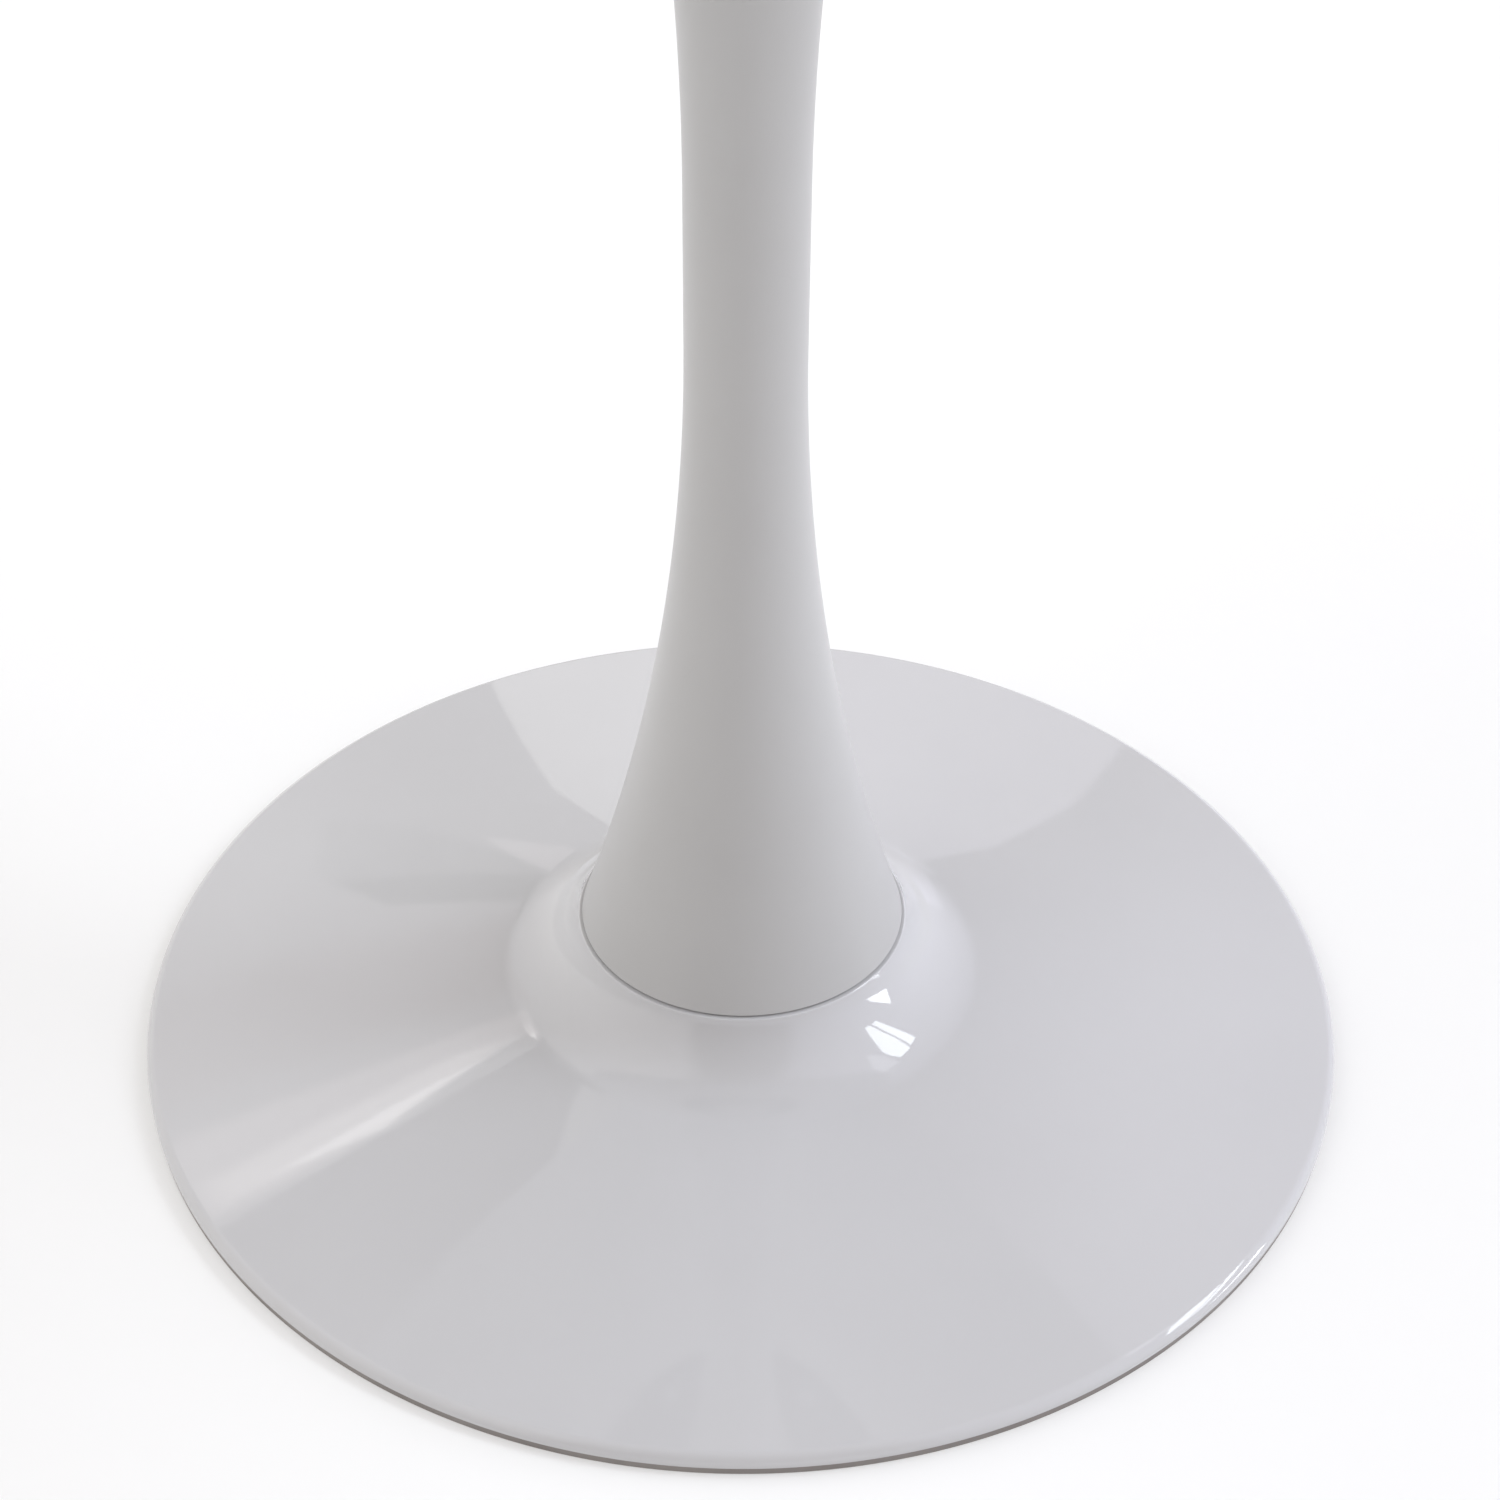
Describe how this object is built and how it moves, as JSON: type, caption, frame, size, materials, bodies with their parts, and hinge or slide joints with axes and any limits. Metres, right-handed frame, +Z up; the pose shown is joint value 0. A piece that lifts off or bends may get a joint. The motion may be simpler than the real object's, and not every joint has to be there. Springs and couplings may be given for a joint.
{
  "type": "round pedestal table",
  "caption": "Round pedestal table: a bevelled round top on a trumpet-shaped stem that flares into a shallow glossy dish foot with a soft floor ring.",
  "frame": {"origin": "on the floor at the centre of the foot, on the table's axis", "axes": "+Z up along the stem; the table is round, so +X and +Y are any two level directions, and +X passes through a glide pad and a screw"},
  "size_m": [0.8, 0.8, 0.74],
  "materials": {
    "top_lacquer": "white satin lacquer on fibreboard",
    "foot_gloss_paint": "white high-gloss paint",
    "stem_satin_paint": "white satin powder coat",
    "floor_ring_vinyl": "matt warm grey moulded vinyl",
    "seam_rubber": "matt dark grey",
    "pad_felt": "pressed dark felt",
    "ballast_black": "satin black paint",
    "plate_black": "satin black paint",
    "zinc_steel": "bright zinc plated",
    "insert_brass": "plain brass"
  },
  "bodies": {
    "root": {"table_top": "top_lacquer", "foot_shell": "foot_gloss_paint", "stem_shell": "stem_satin_paint", "floor_ring": "floor_ring_vinyl", "seam_gasket": "seam_rubber", "glide_pads": "pad_felt", "ballast_plate": "ballast_black", "hub_flange": "ballast_black", "hub_tube": "ballast_black", "hub_top_disc": "ballast_black", "hub_gussets": "ballast_black", "mounting_plate": "plate_black", "centring_ring": "plate_black", "stem_top_disc": "plate_black", "stem_foot_disc": "plate_black", "tie_rod": "zinc_steel", "upper_nut": "zinc_steel", "upper_washer": "zinc_steel", "lower_nut": "zinc_steel", "lower_spring_washer": "zinc_steel", "lower_washer": "zinc_steel", "hub_screws": "zinc_steel", "plate_screws": "zinc_steel", "plate_flat_washers": "zinc_steel", "plate_spring_washers": "zinc_steel", "top_inserts": "insert_brass"}
  },
  "joints": []
}
